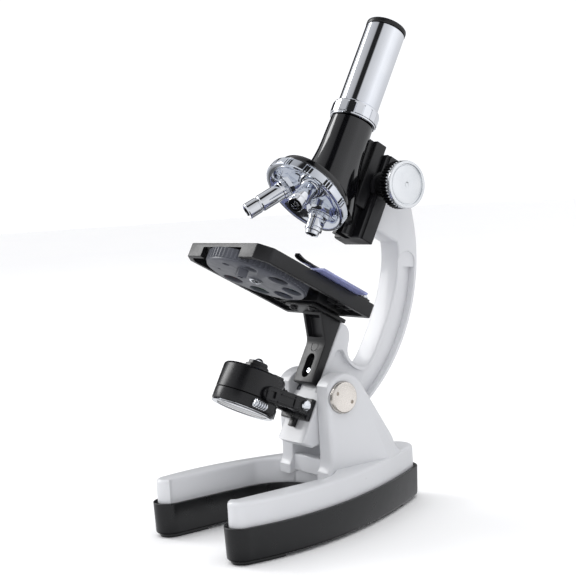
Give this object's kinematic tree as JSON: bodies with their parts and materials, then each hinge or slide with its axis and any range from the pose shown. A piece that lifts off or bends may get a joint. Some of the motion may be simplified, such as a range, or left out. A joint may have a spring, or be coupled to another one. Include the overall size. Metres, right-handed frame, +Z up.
{
  "type": "microscope",
  "caption": "Toy school microscope with a white horseshoe base, tilting C arm, chrome eyepiece tube, lens turret, black stage with a filter wheel, and a flip-over lamp and mirror.",
  "frame": {"origin": "middle of the bounding box in X and Y, at table height", "axes": "+Z up, -Y towards the open end of the horseshoe base, X along the tilt pivot; the arm leans back 28.6 degrees at rest"},
  "size_m": [0.0704, 0.1248, 0.2145],
  "materials": {
    "black_gloss": "gloss black",
    "black_plastic": "satin black moulding",
    "blue_gel": "transparent blue film",
    "brass": "machined brass",
    "chrome": "bright chrome plate",
    "clear_glass": "clear, faint lavender",
    "green_gel": "transparent green film",
    "mirror": "silvered glass",
    "nickel": "warm nickel plate",
    "red_gel": "transparent red film",
    "spun_silver": "spun, silver",
    "steel": "plain zinc plate",
    "teal_gel": "transparent teal film",
    "white_paint": "gloss white enamel"
  },
  "bodies": {
    "base": {"base_casting": "white_paint", "base_trim": "black_plastic", "base_screw_right": "steel", "base_screw_left": "steel", "pivot_bolt": "steel", "pivot_cap_right": "nickel", "pivot_cap_left": "nickel"},
    "arm": {"arm": "white_paint", "guide_block": "black_plastic", "guide_screw": "steel", "stage_bracket": "black_plastic", "bracket_screw": "chrome", "stage_plate": "black_plastic", "filter_screw": "chrome", "stage_screw_right": "steel", "stage_screw_left": "steel", "clip_pin_right": "chrome", "clip_pin_left": "chrome", "yoke_base": "black_plastic", "yoke_base_screw": "steel"},
    "filter_wheel": {"filter_disc": "black_plastic", "filter_teal": "teal_gel", "filter_blue": "blue_gel", "filter_green": "green_gel", "filter_red": "red_gel"},
    "right_clip": {"clip_right": "black_gloss"},
    "left_clip": {"clip_left": "black_gloss"},
    "slide": {"glass_slide": "clear_glass"},
    "tube": {"body_tube": "black_gloss", "slider": "black_plastic", "rack": "brass", "turret_mount": "black_gloss", "turret_screw": "chrome"},
    "lock_ring": {"collar": "chrome"},
    "eyepiece": {"draw_tube": "chrome", "eyepiece_rim": "black_gloss", "eye_lens": "clear_glass", "field_lens": "clear_glass"},
    "turret": {"turret_disc": "chrome", "objective_short": "chrome", "objective_lens_short": "clear_glass", "objective_medium": "chrome", "objective_lens_medium": "clear_glass", "objective_long": "chrome", "objective_lens_long": "clear_glass"},
    "focus": {"pinion_shaft": "steel", "pinion": "brass", "focus_knob_right": "black_plastic", "knob_cap_right": "spun_silver", "focus_knob_left": "black_plastic", "knob_cap_left": "spun_silver"},
    "yoke": {"lamp_yoke": "black_plastic", "yoke_screw_right": "chrome", "yoke_screw_left": "chrome"},
    "lamp": {"lamp_housing": "black_plastic", "lamp_lower_shell": "black_plastic", "mirror_ring": "chrome", "mirror": "mirror", "bulb_socket": "black_plastic", "bulb": "clear_glass"}
  },
  "joints": [
    {"name": "arm_tilt", "type": "hinge", "parent": "base", "child": "arm", "pos_m": [0, 0.00406, 0.054], "axis": [1, 0, 0], "range_deg": [-25, 28.6]},
    {"name": "focus_travel", "type": "slide", "parent": "arm", "child": "tube", "axis": [0, 0.4787, 0.878], "range_m": [-0.008, 0.009]},
    {"name": "focus_knobs", "type": "hinge", "parent": "arm", "child": "focus", "pos_m": [0, 0.03927, 0.1405], "axis": [1, 0, 0], "range_deg": [-154.4, 137.3]},
    {"name": "collar_turn", "type": "hinge", "parent": "tube", "child": "lock_ring", "pos_m": [0, 0.03338, 0.17128], "axis": [0, 0.4787, 0.878], "range_deg": [-45, 45]},
    {"name": "draw_slide", "type": "slide", "parent": "tube", "child": "eyepiece", "axis": [0, 0.4787, 0.878], "range_m": [0, 0.015]},
    {"name": "turret_spin", "type": "hinge", "parent": "tube", "child": "turret", "pos_m": [0, 0.00326, 0.13713], "axis": [0, 0.7638, 0.6455], "continuous": true},
    {"name": "filter_spin", "type": "hinge", "parent": "arm", "child": "filter_wheel", "pos_m": [0, -0.02286, 0.10718], "axis": [0, 0.4787, 0.878], "continuous": true},
    {"name": "right_clip_swing", "type": "hinge", "parent": "arm", "child": "right_clip", "pos_m": [0.025, 0.01195, 0.09458], "axis": [0, 0.4787, 0.878], "range_deg": [-20, 35]},
    {"name": "left_clip_swing", "type": "hinge", "parent": "arm", "child": "left_clip", "pos_m": [-0.025, 0.01195, 0.09458], "axis": [0, 0.4787, 0.878], "range_deg": [-35, 20]},
    {"name": "slide_shift", "type": "slide", "parent": "arm", "child": "slide", "axis": [1, 0, 0], "range_m": [-0.01, 0.01]},
    {"name": "yoke_tilt", "type": "hinge", "parent": "arm", "child": "yoke", "pos_m": [0, -0.01413, 0.05321], "axis": [1, 0, 0], "range_deg": [-20, 20]},
    {"name": "lamp_flip", "type": "hinge", "parent": "yoke", "child": "lamp", "pos_m": [0, -0.03053, 0.06011], "axis": [1, 0, 0], "range_deg": [-45, 180]}
  ],
  "couplings": [
    {"joint": "focus_knobs", "follows": "focus_travel", "rad_per_m": -298.51}
  ]
}
